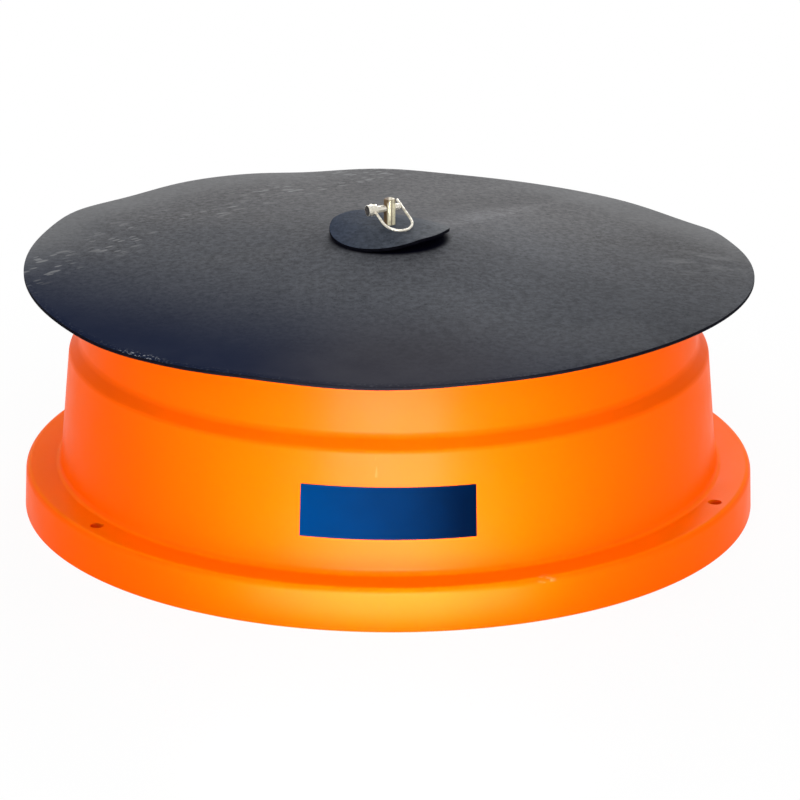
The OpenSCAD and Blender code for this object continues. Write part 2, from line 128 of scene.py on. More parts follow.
# %% Words for nodes
class Wiring:
    """Short words for the nodes of one tree. A value is a number, a colour or another node's output."""

    def __init__(self, tree):
        self.tree = tree

    def feed(self, socket, value):
        if isinstance(value, bpy.types.NodeSocket):
            self.tree.links.new(value, socket)
        else:
            socket.default_value = value

    def node(self, kind, inputs=None, **settings):
        made = self.tree.nodes.new(kind)
        for key, setting in settings.items():
            setattr(made, key, setting)
        for key, value in (inputs or {}).items():
            self.feed(made.inputs[key], value)
        return made

    def joined(self, operation, value, *others):
        """Joins values one after another by a sum, a product or the like."""
        for other in others:
            value = self.node("ShaderNodeMath", {0: value, 1: other}, operation=operation).outputs[0]
        return value

    def times(self, *values):
        return self.joined("MULTIPLY", *values)

    def plus(self, *values):
        return self.joined("ADD", *values)

    def largest(self, *values):
        return self.joined("MAXIMUM", *values)

    def off(self, value, centre=0.0):
        """How far a value is from a centre, to either side."""
        return self.joined("ABSOLUTE", self.plus(value, -centre), 0)

    def spread(self, value, low, high, to_low=0.0, to_high=1.0, smooth=True):
        """Stretches a value between two limits, with soft ends unless it is to run straight."""
        limits = {"Value": value, "From Min": low, "From Max": high, "To Min": to_low, "To Max": to_high}
        ease = "SMOOTHSTEP" if smooth else "LINEAR"
        return self.node("ShaderNodeMapRange", limits, clamp=True, interpolation_type=ease).outputs["Result"]

    def band(self, value, rise, fall):
        """One between a rise and a fall, each a pair of limits, and zero outside them."""
        return self.times(self.spread(value, *rise), self.spread(value, *fall, 1, 0))

    def mix(self, share, a, b):
        """A colour between two colours, each another node's output or three numbers."""
        first, second = ((*colour, 1) if isinstance(colour, tuple) else colour for colour in (a, b))
        return self.node("ShaderNodeMix", {"Factor": share, 6: first, 7: second}, data_type="RGBA").outputs[2]

    def scaled(self, colour, factor):
        return self.node("ShaderNodeVectorMath", {0: colour, "Scale": factor}, operation="SCALE").outputs["Vector"]


# %% Words for places and patterns
NOISE_LOW, NOISE_HIGH = 0.3, 0.7
DOT_CORE, CHOICE_EASE = 0.6, 0.01


class Finish(Wiring):
    """A material with one Principled shader, and words for the places and patterns that feed it."""

    def __init__(self, name, follow=None, **constants):
        self.material = bpy.data.materials.new(name)
        self.material.use_nodes = True
        super().__init__(self.material.node_tree)
        self.shader = self.tree.nodes["Principled BSDF"]
        if follow:
            self.place = self.node("ShaderNodeAttribute", attribute_name=follow).outputs["Vector"]
        else:
            self.place = self.node("ShaderNodeTexCoord").outputs["Object"]
        for socket, value in constants.items():
            self.shader.inputs[socket.replace("_", " ")].default_value = value

    def turned(self, scale=(1, 1, 1), turn=0.0, move=(0, 0, 0), place=None):
        """Coordinates that are scaled, turned about the upright in degrees, and moved."""
        inputs = {"Vector": place or self.place, "Location": move,
                  "Rotation": (0, 0, math.radians(turn)), "Scale": scale}
        return self.node("ShaderNodeMapping", inputs, vector_type="POINT").outputs["Vector"]

    def axis(self, name, place=None):
        return self.node("ShaderNodeSeparateXYZ", {0: place or self.place}).outputs[name]

    def along(self, turn):
        """The distance in a level direction, given in degrees from the right."""
        return self.axis("X", self.turned(turn=-turn))

    def across(self, turn):
        """The distance to the left of a level direction."""
        return self.axis("Y", self.turned(turn=-turn))

    def away(self, x=0.0, y=0.0):
        """The level distance from an upright line."""
        flat = self.turned((1, 1, 0), move=(-x, -y, 0))
        return self.node("ShaderNodeVectorMath", {0: flat}, operation="LENGTH").outputs["Value"]

    def near(self, place, full, none, rest=0.0):
        """One within a distance of an upright line, and only the rest beyond a second distance."""
        return self.spread(self.away(*place), full, none, 1, rest)

    def noise(self, scale, detail=3.0, rough=0.5, place=None):
        """A cloudy value. The scale is about how many clouds there are in a metre."""
        inputs = {"Vector": place or self.place, "Scale": scale, "Detail": detail, "Roughness": rough}
        return self.node("ShaderNodeTexNoise", inputs).outputs["Fac"]

    def wander(self, noise, to_low=0.0, to_high=1.0):
        """A noise, stretched from the range in which most of it lies."""
        return self.spread(noise, NOISE_LOW, NOISE_HIGH, to_low, to_high)

    def dots(self, scale, size, share, place):
        """Scattered round dots, one in some cells of a net: the share of cells, and the dot's size in a cell."""
        net = self.node("ShaderNodeTexVoronoi", {"Vector": place, "Scale": scale}, voronoi_dimensions="2D").outputs
        chosen = self.spread(self.axis("X", net["Color"]), 1 - share, 1 - share + CHOICE_EASE)
        return self.times(self.spread(net["Distance"], DOT_CORE * size, size, 1, 0), chosen)

    def roughness(self, source):
        self.feed(self.shader.inputs["Roughness"], source)

    def bump(self, height, strength, distance):
        inputs = {"Height": height, "Strength": strength, "Distance": distance}
        self.feed(self.shader.inputs["Normal"], self.node("ShaderNodeBump", inputs).outputs["Normal"])

    def coloured(self, source):
        """Gives the shader its colour and returns the finished material."""
        self.feed(self.shader.inputs["Base Color"], source)
        return self.material


# %% [markdown]
# ## The moulded polyethylene
# The tub is rotomoulded: powder melts against a turning mould, so the skin is satin, slightly dappled, with two
# rubbed marks. The top of the flange is painted a paler orange, a painted highlight where light falls on it. The
# orange comes from two close shades mixed by a broad noise, the skin from a fine one. A painted texture would do
# as well, but noise in metres needs no unwrapping of the big round walls.

# %% Orange plastic
CLOUDS, SPECKS, SATIN, SKIN = 3.0, 420.0, 24.0, 260.0
CLOUD_CUT, SPECK_CUT, SPECK_SHARE = (0.35, 0.65), (0.62, 0.8), 0.18


def moulded_plastic(name, deep, light):
    """A satin skin between two close shades: its finish, and its colour for further marks."""
    finish = Finish(name, IOR=1.5, Specular_IOR_Level=0.014)
    body = finish.mix(finish.spread(finish.noise(CLOUDS, detail=2), *CLOUD_CUT), deep, light)
    specks = finish.spread(finish.noise(SPECKS, detail=2), *SPECK_CUT)
    finish.roughness(finish.wander(finish.noise(SATIN, detail=4), 0.3, 0.37))
    finish.bump(finish.noise(SKIN), strength=0.06, distance=0.6 * MM)
    return finish, finish.mix(finish.times(specks, SPECK_SHARE), body, light)


finish, body = moulded_plastic("pan_orange", deep=(0.96, 0.131, 0.001), light=(1.0, 0.156, 0.002))
pan_orange = finish.coloured(body)
print("plastic:", pan_orange.name)

# %% Orange of the tub, with its marks
RUBBED, PAINTED_TOP_LIGHT = (1.0, 0.3, 0.11), (1.0, 0.163, 0.0)
WALL_SCUFF, FLANGE_SCUFF = (-18 * MM, -443 * MM), (204 * MM, -462.5 * MM)
UPRIGHT_GRAIN, LEVEL_GRAIN = (1, 1, 0.1), (0.3, 1, 1)
SCUFF_EASE, SCUFF_CORE, STREAKS, STREAK_CUT = 2 * MM, 0.3, 160.0, (0.47, 0.6)
TOP_RISE, TOP_FALL = (54.5 * MM, 57.5 * MM), (58.5 * MM, 62 * MM)


def scuffed(finish, body, place, reach, low, high, grain, share):
    """A rubbed mark near an upright line, between two heights."""
    level = finish.band(finish.axis("Z"), (low, low + SCUFF_EASE), (high - SCUFF_EASE, high))
    streaks = finish.spread(finish.noise(STREAKS, detail=2, place=finish.turned(grain)), *STREAK_CUT)
    near = finish.near(place, SCUFF_CORE * reach, reach)
    return finish.mix(finish.times(streaks, near, level, share), body, RUBBED)


finish, body = moulded_plastic("tub_orange", deep=(1.0, 0.109, 0.0), light=(1.0, 0.118, 0.0))
# Painted highlight: the top of the flange is paler, as if light falls on it.
body = finish.mix(finish.band(finish.axis("Z"), TOP_RISE, TOP_FALL), body, PAINTED_TOP_LIGHT)
body = scuffed(finish, body, WALL_SCUFF, reach=6 * MM, low=186 * MM, high=214 * MM, grain=UPRIGHT_GRAIN, share=0.3)
body = scuffed(finish, body, FLANGE_SCUFF, reach=15 * MM, low=50 * MM, high=62 * MM, grain=LEVEL_GRAIN, share=0.6)
tub_orange = finish.coloured(body)
print("plastic:", tub_orange.name)

# %% [markdown]
# ## The sheet rubber
# The lid and the cap washer are cut from black sheet rubber. It is not an even black: it has a fine calendered
# grain, and a painted sheen greys it toward one side. The sheen is a run between three shades stirred by noise.
# The underside is plain and dark, and the cut edge is darker still. A painted texture could hold all this, but
# noise keeps the grain at its real size on every sheet.

# %% Rubber in three shades
SHEET_PLACE = "sheet_place"
RUBBER = {"IOR": 1.45, "Specular_IOR_Level": 0.02}
SHEEN_CLOUDS, MOTTLE, PITS, CALENDER, SAW = 9.0, 120.0, 260.0, 330.0, 90.0
STIR, PIT_CUT, SAW_DRAW = 0.12, (0.3, 0.42), (1, 1, 6)


def sheet_rubber(name, dark, middle, pale, turn, low, half, high):
    """Rubber with a painted sheen: it runs from dark at low over middle at half to pale at high, in a level
    direction.
    """
    finish = Finish(name, SHEET_PLACE, **RUBBER)
    cloud = finish.noise(SHEEN_CLOUDS, detail=5, rough=0.6)
    # The run is a painted sheen, and the clouds stir it.
    drift = finish.plus(finish.along(turn), finish.wander(cloud, STIR * low, -STIR * low))
    body = finish.mix(finish.spread(drift, low, half), dark, middle)
    body = finish.mix(finish.spread(drift, half, high), body, pale)
    body = finish.scaled(body, finish.wander(finish.noise(MOTTLE, detail=5, rough=0.7), 0.7, 1.3))
    body = finish.scaled(body, finish.spread(finish.noise(PITS, rough=0.6), *PIT_CUT, 0.55, 1.0))
    finish.roughness(finish.wander(cloud, 0.58, 0.7))
    finish.bump(finish.noise(CALENDER, detail=4, rough=0.65), strength=0.25, distance=0.5 * MM)
    return finish, body


def cut_rubber(name):
    finish = Finish(name, SHEET_PLACE, **RUBBER)
    saw = finish.wander(finish.noise(SAW, rough=0.6, place=finish.turned(SAW_DRAW)))
    finish.roughness(finish.spread(saw, 0, 1, 0.6, 0.8))
    finish.bump(saw, strength=0.2, distance=0.3 * MM)
    return finish.coloured(finish.mix(saw, (0.001, 0.001, 0.003), (0.005, 0.005, 0.009)))


cut_edge = cut_rubber("cut_edge")
# The cap runs from dark at the left to pale at the right, a painted sheen.
finish, body = sheet_rubber("cap_black", dark=(0.039, 0.051, 0.079), middle=(0.061, 0.071, 0.091),
                            pale=(0.134, 0.14, 0.149), turn=0, low=-90 * MM, half=0.0, high=100 * MM)
cap_black = finish.coloured(body)
finish, body = sheet_rubber("under_black", dark=(0.01, 0.011, 0.015), middle=(0.018, 0.02, 0.024),
                            pale=(0.028, 0.03, 0.034), turn=-20, low=-0.5, half=0.0, high=0.5)
under_black = finish.coloured(body)
print("rubbers:", cut_edge.name, cap_black.name, under_black.name)

# %% [markdown]
# The top of the lid is built up in layers, as a painter would: first a painted sheen toward the back, and the
# painted light and shade of a low ridge from the stud to the back right, which the sheet's shape does not have;
# then a painted shade, bluer and darker, at the front left, and painted sheen at the back sides; then the small
# marks of a sheet that has lain outdoors. Turns are in degrees from the right, and distances are from the stud.

# %% Painted sheen of the lid, and painted light and shade on a ridge
LID_R, CAP_R = 501 * MM, 82.5 * MM
PAINTED_RIGHT_SHADE = (100 * MM, 450 * MM)
RIDGE_TURN, RIDGE_SIDE = 53, (-12 * MM, 20 * MM)
RIDGE_WIDTH, RIDGE_START, RIDGE_END = (3 * MM, 45 * MM), (60 * MM, 100 * MM), (250 * MM, 420 * MM)

# The lid's run from dark at the front to pale at the back is painted sheen.
finish, body = sheet_rubber("lid_black", dark=(0.0525, 0.056, 0.069), middle=(0.081, 0.086, 0.099),
                            pale=(0.14, 0.139, 0.144), turn=80, low=-0.5, half=-0.2, high=0.32)
# Painted shade: the right side of the lid is darker.
body = finish.scaled(body, finish.spread(finish.axis("X"), *PAINTED_RIGHT_SHADE, 1, 0.68))
# The ridge is painted light and shade only: brighter on its right flank and along its line, darker to its left.
from_stud = finish.along(RIDGE_TURN)
started = finish.spread(from_stud, *RIDGE_START)
painted_ridge_flank = finish.times(finish.spread(finish.across(RIDGE_TURN), *RIDGE_SIDE, 1, 0), started)
body = finish.scaled(body, finish.spread(painted_ridge_flank, 0, 1, 0.96, 1.1))
ridge = finish.times(finish.spread(finish.off(finish.across(RIDGE_TURN)), *RIDGE_WIDTH, 1, 0), started,
                     finish.spread(from_stud, *RIDGE_END, 1, 0.2))
body = finish.scaled(body, finish.spread(ridge, 0, 1, 1, 1.25))
print("lid: bloom, and a ridge at", RIDGE_TURN, "degrees")

# %% Painted shade at the front and painted sheen at the back sides of the lid
PAINTED_SHADE_NAVY, PAINTED_SHEEN_GREY = (0.004, 0.009, 0.03), (0.25, 0.254, 0.259)
NAVY_TURN, NAVY_RUN = 238, (150 * MM, 470 * MM)
PALE_TURN, PALE_RUN, PALE_SHARE = 40, (360 * MM, 470 * MM), 0.4
SHEEN_EDGE_TURN, SHEEN_EDGE_RUN, SHEEN_EDGE_RING, SHEEN_EDGE_SHARE = 137, (270 * MM, 470 * MM), (360 * MM, 500 * MM), 0.5

# Painted shade: the front left of the lid is darker and bluer.
body = finish.mix(finish.spread(finish.along(NAVY_TURN), *NAVY_RUN), body, PAINTED_SHADE_NAVY)
# Painted sheen: the back right and the back left edge of the lid are greyer.
painted_sheen_side = finish.spread(finish.along(PALE_TURN), *PALE_RUN)
body = finish.mix(finish.times(painted_sheen_side, PALE_SHARE), body, PAINTED_SHEEN_GREY)
painted_sheen_edge = finish.times(finish.spread(finish.along(SHEEN_EDGE_TURN), *SHEEN_EDGE_RUN), finish.spread(finish.away(), *SHEEN_EDGE_RING))
body = finish.mix(finish.times(painted_sheen_edge, SHEEN_EDGE_SHARE), body, PAINTED_SHEEN_GREY)
print("lid: navy at", NAVY_TURN, "degrees, faded at", PALE_TURN, "and", SHEEN_EDGE_TURN)

# %% [markdown]
# The marks are short pale scuffs in a band at the back left, one smear at the right, and small white chips along
# the cut edge, and a painted warm reflection lies in front. The scuffs are drawn-out dots from two nets, kept to
# their band and broken up by noise. Under and around the cap washer a painted shadow makes the sheet black.

# %% Scuffs and a smear on the lid
CHALK = (0.325, 0.331, 0.338)
SCRAPE_TURN, SCRAPE_PLACE, SCRAPE_CORE, SCRAPE_REACH = 139, 335 * MM, 17 * MM, 85 * MM
DASH_TURN, DASH_DRAW, DASH_SHARE, PATCHES, PATCH_CUT = 35, (1, 2.6, 1), 0.5, 14.0, (0.42, 0.62)
SMEAR_PLACE, SMEAR_TURN, SMEAR_DRAW, SMEAR_SHARE = (435 * MM, 0.0), 25, (0.6, 1, 1), 0.24
SMEARS, SMEAR_CUT = 36.0, (0.45, 0.65)

drawn = finish.turned(DASH_DRAW, place=finish.turned(turn=-DASH_TURN))
dashes = finish.largest(finish.dots(scale=23.0, size=0.28, share=0.4, place=drawn),
                        finish.dots(scale=41.0, size=0.3, share=0.35, place=drawn))
patchy = finish.spread(finish.noise(PATCHES), *PATCH_CUT)
scraped = finish.spread(finish.off(finish.along(SCRAPE_TURN), SCRAPE_PLACE), SCRAPE_CORE, SCRAPE_REACH, 1, 0)
body = finish.mix(finish.times(dashes, patchy, scraped, DASH_SHARE), body, CHALK)
smears = finish.noise(SMEARS, rough=0.6, place=finish.turned(SMEAR_DRAW, SMEAR_TURN))
smear = finish.times(finish.spread(smears, *SMEAR_CUT), finish.near(SMEAR_PLACE, full=20 * MM, none=90 * MM))
body = finish.mix(finish.times(smear, SMEAR_SHARE), body, CHALK)
print("lid: scuffs at", SCRAPE_TURN, "degrees")

# %% Painted warm reflection, chips and painted shadow under the cap washer
WARM_REFLECTION_GREY, CHIP_WHITE, PAINTED_SHADOW_BLACK = (0.0625, 0.055, 0.056), (0.52, 0.55, 0.6), (0.0015, 0.0015, 0.006)
WARM_PLACE, CHIP_PLACE, STUD_PLACE = (20 * MM, -460 * MM), (-320 * MM, -385 * MM), (0.0, 0.0)
WARM_SHARE, CHIP_SHARE, CHIPS, CHIP_CUT = 0.4, 0.8, 260.0, (0.56, 0.62)
CHIP_RING = (LID_R - 16 * MM, LID_R - 2 * MM)

# Painted warm reflection on the front of the lid.
painted_warm_reflection = finish.near(WARM_PLACE, full=40 * MM, none=240 * MM)
body = finish.mix(finish.times(painted_warm_reflection, WARM_SHARE), body, WARM_REFLECTION_GREY)
chips = finish.times(finish.spread(finish.noise(CHIPS, rough=0.6), *CHIP_CUT),
                     finish.spread(finish.away(), *CHIP_RING),
                     finish.near(CHIP_PLACE, full=12 * MM, none=50 * MM, rest=0.06))
body = finish.mix(finish.times(chips, CHIP_SHARE), body, CHIP_WHITE)
# Painted shadow: under and around the cap washer the sheet is black.
painted_cap_shadow = finish.near(STUD_PLACE, full=CAP_R - 5 * MM, none=CAP_R + 6 * MM)
body = finish.mix(painted_cap_shadow, body, PAINTED_SHADOW_BLACK)
lid_black = finish.coloured(body)
print("rubber:", lid_black.name)

# %% [markdown]
# ## The plated steel
# Three platings: yellow zinc on the stud, bright zinc on the snap pin and its wire, and dull grey zinc on the
# bolts inside. Their roughness wanders a little, with a fine drawn grain. A plain grey metal would do for all
# three, but weathered plating is partly a dull film, so the stud and the pin are less metallic than the bolts.
# The stud runs from straw to brown in upright streaks, which are painted reflection and shade: two bright
# streaks and a thin brown line between them stand for what the round stud mirrors, its brown left side is painted
# shade, and its top rim and top are brown too. The end of the pin's head is dark, a painted shade in its recess.

# %% Zinc platings
TARNISH, POLISH, DRAWN_GRAIN = 130.0, 300.0, 900.0
TARNISHED, DULLER = (0.3, 1.0), 0.3


def plated(name, first, second, smooth, dull, metal=1.0, streaks=None):
    """A plating of two shades. Streaks, given the finish and its clouds, tell where it has the second shade."""
    finish = Finish(name, Metallic=metal)
    clouds = finish.wander(finish.noise(TARNISH, rough=0.55))
    share = streaks(finish, clouds) if streaks else clouds
    polish = finish.wander(finish.noise(POLISH), smooth, dull)
    finish.roughness(finish.plus(polish, finish.spread(share, *TARNISHED, 0, DULLER)))
    finish.bump(finish.noise(DRAWN_GRAIN, detail=2), strength=0.12, distance=0.2 * MM)
    return finish.coloured(finish.mix(share, first, second))


bright_zinc = plated("bright_zinc", (0.9, 0.86, 0.76), (0.56, 0.52, 0.43), smooth=0.24, dull=0.4, metal=0.45)
# A dark finish for the end of the pin's head: painted shade in its recess.
painted_end_shade = plated("painted_end_shade", (0.13, 0.125, 0.12), (0.05, 0.045, 0.045), smooth=0.5, dull=0.7)
grey_zinc = plated("grey_zinc", (0.62, 0.63, 0.65), (0.5, 0.51, 0.53), smooth=0.34, dull=0.5)
print("platings:", bright_zinc.name, painted_end_shade.name, grey_zinc.name)

# %% Painted reflection and shade on the stud
LEFT_SIDE, LINE_X, LINE_WIDTH = (-4 * MM, -1.5 * MM), 2.9 * MM, (0.4 * MM, 1.3 * MM)
BROWN_RIM, BESIDE_LINE, STUD_TOP = (418 * MM, 424.5 * MM), (1.5 * MM, 5 * MM), (425.5 * MM, 426.8 * MM)
LINE_SHARE, TOP_SHARE, CLOUD_SHARE = 0.8, 0.65, 0.12


def stud_reflection_and_shade(finish, clouds):
    """Brown at the left as painted shade, and on the top rim, with one thin brown line between two bright streaks as
    painted reflection.
    """
    x, z = finish.axis("X"), finish.axis("Z")
    off_line = finish.off(x, LINE_X)
    left = finish.spread(x, *LEFT_SIDE, 1, 0)
    line = finish.spread(off_line, *LINE_WIDTH, LINE_SHARE, 0)
    rim = finish.times(finish.spread(z, *BROWN_RIM), finish.spread(off_line, *BESIDE_LINE))
    top = finish.spread(z, *STUD_TOP, 0, TOP_SHARE)
    return finish.largest(left, line, rim, top, finish.times(clouds, CLOUD_SHARE))


# The stud's streaks are painted reflection and shade.
yellow_zinc = plated("yellow_zinc", (1.0, 0.93, 0.66), (0.12, 0.07, 0.028), smooth=0.24, dull=0.4, metal=0.15,
                     streaks=stud_reflection_and_shade)
print("plating:", yellow_zinc.name)

# %% [markdown]
# ## The front panel
# A plain vinyl plate on the front wall. Its blue runs from a clear mid blue at the left to a dark navy at the
# right. A colour ramp could hold the run; two shades mixed along the object's own X, with a faint drift, are
# enough.

# %% Panel blue
PANEL_HALF = 115 * MM
MID_BLUE, DARK_NAVY = (0.0, 0.023, 0.096), (0.0, 0.0035, 0.017)
DRIFT, DRIFT_SHARE, GLOSS, FILM = 18.0, 0.08, 60.0, 500.0


def plain_vinyl(name):
    finish = Finish(name, IOR=1.5, Specular_IOR_Level=0.001)
    to_right = finish.spread(finish.axis("X"), -PANEL_HALF, PANEL_HALF, smooth=False)
    drift = finish.times(finish.wander(finish.noise(DRIFT, detail=2)), DRIFT_SHARE)
    finish.roughness(finish.wander(finish.noise(GLOSS), 0.3, 0.42))
    finish.bump(finish.noise(FILM, detail=2), strength=0.03, distance=0.1 * MM)
    return finish.coloured(finish.mix(finish.plus(to_right, drift), MID_BLUE, DARK_NAVY))


panel_blue = plain_vinyl("panel_blue")
print("panel:", panel_blue.name)

# %% [markdown]
# ## The base tub
# The tub is one wall of even thickness: foot flange, drafted wall, soft inward step, upper band, rolled rim
# and the seat for the pan. It could be lathed from a drawn curve with a Screw modifier. Here a few corner
# points are joined by edges, each corner is rounded with a vertex bevel, and the wire is spun about the axis
# and thickened inward, so that the rounding is smooth at any size.

# %% The tub's profile
FLANGE_R, FLANGE_H, FLANGE_DRAFT = 508 * MM, 58 * MM, math.radians(2.5)
WALL_FOOT_R, WALL_DRAFT = 457.7 * MM, math.radians(5.4)
STEP_Z, STEP_IN, STEP_SLOPE = 220.5 * MM, 15 * MM, math.radians(43)
BAND_DRAFT, RIM_Z, RIM_W = math.radians(4.5), 322.5 * MM, 24 * MM
SEAT_DROP, SEAT_W, TUB_WALL = 27 * MM, 30 * MM, 7 * MM
FLANGE_ROUND, FOOT_ROUND, STEP_ROUND, BAND_ROUND, RIM_ROUND = 9 * MM, 9 * MM, 12 * MM, 16 * MM, 9 * MM

step_foot = WALL_FOOT_R - (STEP_Z - FLANGE_H) * math.tan(WALL_DRAFT)
band_z = STEP_Z + STEP_IN / math.tan(STEP_SLOPE)
rim_out = step_foot - STEP_IN - (RIM_Z - band_z) * math.tan(BAND_DRAFT)
rim_in = rim_out - RIM_W
seat_z = RIM_Z - SEAT_DROP
# Each corner is a radius, a height and a rounding
tub_profile = [
    (FLANGE_R, 0, 0),
    (FLANGE_R - FLANGE_H * math.tan(FLANGE_DRAFT), FLANGE_H, FLANGE_ROUND),
    (WALL_FOOT_R, FLANGE_H, FOOT_ROUND),
    (step_foot, STEP_Z, STEP_ROUND),
    (step_foot - STEP_IN, band_z, BAND_ROUND),
    (rim_out, RIM_Z, RIM_ROUND),
    (rim_in, RIM_Z, RIM_ROUND),
    (rim_in, seat_z, RIM_ROUND),
    (rim_in - SEAT_W, seat_z, 0)]
print("rim radius", round(rim_out, 4))

# %% A wall spun from a rounded profile
UPRIGHT = (0, 0, 1)
TUB_STEPS, TUB_ROUND_STEPS = 256, 10


def spun_wall(profile, wall, steps, round_steps):
    """A wall spun from a profile and thickened inward, cut level where it stands on the ground."""
    bm = drawn_line([(r, 0, z) for r, z, rounding in profile])
    corners = bm.verts[:]
    places = [Vector((r, z)) for r, z, rounding in profile]
    for i, (r, z, rounding) in enumerate(profile):
        if rounding:
            turn = (places[i] - places[i - 1]).angle(places[i + 1] - places[i])
            bmesh.ops.bevel(bm, geom=[corners[i]], offset=rounding * math.tan(turn / 2), offset_type="OFFSET",
                            affect="VERTICES", segments=round_steps, profile=0.5, material=-1)
    spin_round(bm, UPRIGHT, steps)
    outermost = max(bm.faces, key=lambda f: f.calc_center_median().xy.length)
    if outermost.normal.xy.dot(outermost.calc_center_median().xy) < 0:
        bmesh.ops.reverse_faces(bm, faces=bm.faces)
    bmesh.ops.solidify(bm, geom=bm.faces[:], thickness=wall)
    for v in bm.verts:
        v.co.z = max(v.co.z, 0)
    return bm


tub = make_piece("tub_moulding", spun_wall(tub_profile, TUB_WALL, TUB_STEPS, TUB_ROUND_STEPS), [tub_orange])

# %% [markdown]
# The flange has three plain drilled holes for ground stakes, and the seat has six for the pan's bolts. Holes
# through a finished wall are easiest as a Boolean with a few cylinders, applied at once so that no modifier is
# left on the piece.

# %% Drills
def add_drill(bm, radius, length, place, segments):
    bmesh.ops.create_cone(bm, cap_ends=True, segments=segments, radius1=radius, radius2=radius, depth=length,
                          matrix=place)


def cut_away(piece, cutter_bm):
    """Cuts the solids of a bmesh out of a piece."""
    cutter_mesh = bpy.data.meshes.new("drill")
    cutter_bm.to_mesh(cutter_mesh)
    cutter_bm.free()
    cutter = bpy.data.objects.new("cutter", cutter_mesh)
    bpy.context.scene.collection.objects.link(cutter)
    modifier = piece.modifiers.new("holes", "BOOLEAN")
    modifier.object = cutter
    modifier.operation = "DIFFERENCE"
    modifier.solver = "EXACT"
    evaluated = piece.evaluated_get(bpy.context.evaluated_depsgraph_get())
    result = bpy.data.meshes.new_from_object(evaluated)
    piece.modifiers.clear()
    piece.data = result
    result.set_sharp_from_angle(angle=SHARP_ANGLE)
    bpy.data.objects.remove(cutter)
    print(piece.name, "cut:", len(result.polygons), "faces")


# %% Drill the tub
CLEAR = 0.5 * MM
ANCHORS, ANCHOR_R, ANCHOR_CIRCLE, ANCHOR_TURN = 3, 9.5 * MM, 481 * MM, -23.4
PAN_BOLTS, PAN_BOLT_HOLE_R, PAN_BOLT_CIRCLE = 6, 3.4 * MM, rim_in - (SEAT_W + RIM_ROUND + CLEAR) / 2
BELOW, ABOVE_FLANGE, ABOVE_SEAT = 20 * MM, 20 * MM, 10 * MM
HOLE_SEGMENTS = 40


def drill_circle(bm, count, radius, circle, first, low, high):
    """Upright drills from low to high, evenly on a circle from a first turn in degrees."""
    for i in range(count):
        angle = math.radians(first + i * 360 / count)
        place = Matrix.Translation((circle * math.cos(angle), circle * math.sin(angle), (low + high) / 2))
        add_drill(bm, radius, high - low, place, HOLE_SEGMENTS)


drills = bmesh.new()
drill_circle(drills, ANCHORS, ANCHOR_R, ANCHOR_CIRCLE, ANCHOR_TURN, FLANGE_H - BELOW, FLANGE_H + ABOVE_FLANGE)
drill_circle(drills, PAN_BOLTS, PAN_BOLT_HOLE_R, PAN_BOLT_CIRCLE, 0, seat_z - BELOW, seat_z + ABOVE_SEAT)
cut_away(tub, drills)
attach(tub, "base")
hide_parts("base_tub")

# %% [markdown]
# ## The rubber lid
# The lid is one disc of rubber that hangs from its centre like a low tent, with a two-lobed wave and a few
# small wrinkles at its edge. A cloth simulation would hang it too, but its shape is known, so a radial line is
# spun to a disc and each point is lifted to the height that the sheet has there. The sheet then gets its
# thickness, and its cut edge a small rounding and the darker finish.

# %% The height of the sheet
LID_T, LID_BORE_R, HUB_R = 5 * MM, 8.5 * MM, 25 * MM
LID_DROP, FALL_POWER, RIM_GAP = 55 * MM, 0.62, 1.6 * MM
WAVE_H, WAVE_TURN, WAVE_POWER = 7 * MM, math.radians(147), 1.5
LEAN_H, LEAN_TURN = 4.5 * MM, math.radians(-145)


def reach(r):
    """How far out a point of the lid is: zero on the hub and one at the edge."""
    return max((r - HUB_R) / (LID_R - HUB_R), 0)


def wave(angle):
    return WAVE_H * math.cos(2 * (angle - WAVE_TURN)) + LEAN_H * math.cos(angle - LEAN_TURN)


hub_z = (RIM_Z + RIM_GAP + LID_T + LID_DROP * reach(rim_out) ** FALL_POWER
         + (WAVE_H + LEAN_H) * reach(rim_out) ** WAVE_POWER)
print("lid centre at", round(hub_z, 4))

# %% Wrinkles of its edge
# Each wrinkle is a direction and a half width in degrees, and a height in millimetres
WRINKLES = [(22, 5, 2), (34, 9, -3), (90, 8, 2.8), (105, 7, -3), (139, 9, -4.8), (156, 7, 3),
            (222, 10, -3), (249, 9, 2.6), (270, 11, -3.2), (292, 13, -1.6)]
WRINKLE_POWER = 3


def wrinkle(angle):
    """Lifts and dents along the edge of a sheet that has lain outdoors."""
    total = 0
    for turn, width, height in WRINKLES:
        off = (math.degrees(angle) - turn + 180) % 360 - 180
        total += height * MM * math.exp(-(off / width) ** 2)
    return total


def lid_height(r, angle):
    level = hub_z - LID_DROP * reach(r) ** FALL_POWER + wave(angle) * reach(r) ** WAVE_POWER
    return level + wrinkle(angle) * reach(r) ** WRINKLE_POWER


print("lid front edge at", round(lid_height(LID_R, -math.pi / 2), 4))

# %% A spun sheet of rubber
TOP, CUT, UNDER = 0, 1, 2
EDGE_ROUND, EDGE_ROUND_STEPS, EDGE_ANGLE, CUT_SLOPE = 0.9 * MM, 2, 55, 0.6


